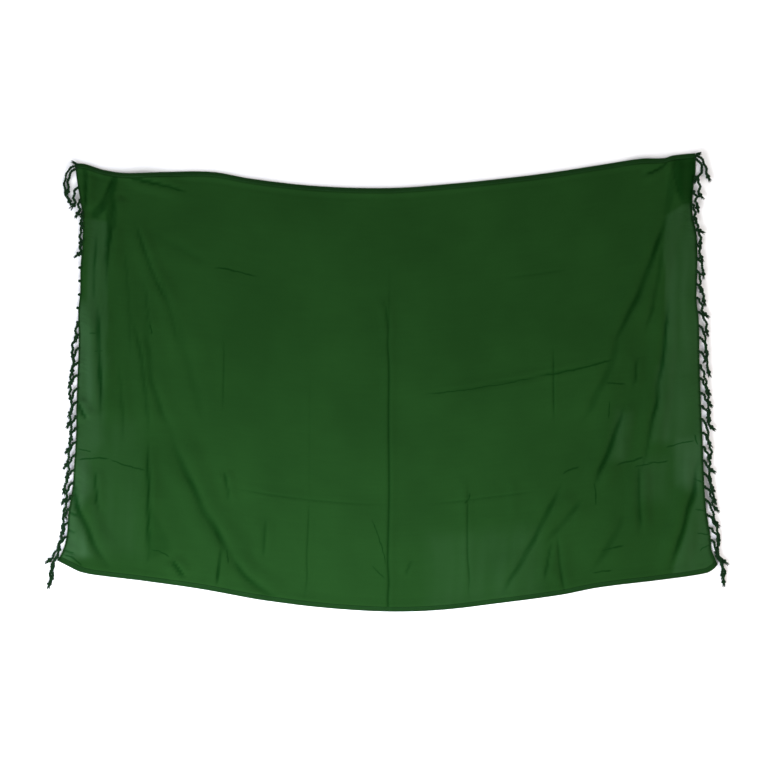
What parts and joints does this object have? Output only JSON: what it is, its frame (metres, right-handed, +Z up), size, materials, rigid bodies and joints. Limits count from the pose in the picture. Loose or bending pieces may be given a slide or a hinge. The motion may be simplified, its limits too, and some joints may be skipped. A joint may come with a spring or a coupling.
{
  "type": "sarong",
  "caption": "Rectangular wrap cloth spread flat, hemmed along both long edges, with a knotted tassel fringe along both short ends.",
  "frame": {"origin": "middle of the spread cloth's footprint, on the surface that it lies on", "axes": "+X along the cloth from one fringed end to the other, +Y towards the upper hemmed edge, +Z up out of the surface"},
  "size_m": [1.7647, 1.1923, 0.0134],
  "materials": {
    "sarong_cloth": "plain woven rayon, bottle green, soft low sheen",
    "hem_cloth": "turned and stitched hem of the same cloth",
    "fringe_cord": "dark green twisted cord with knotted, frayed ends"
  },
  "bodies": {
    "root": {"cloth_panel": "sarong_cloth", "top_hem": "hem_cloth", "bottom_hem": "hem_cloth", "fringe_left": "fringe_cord", "fringe_right": "fringe_cord"}
  },
  "joints": []
}
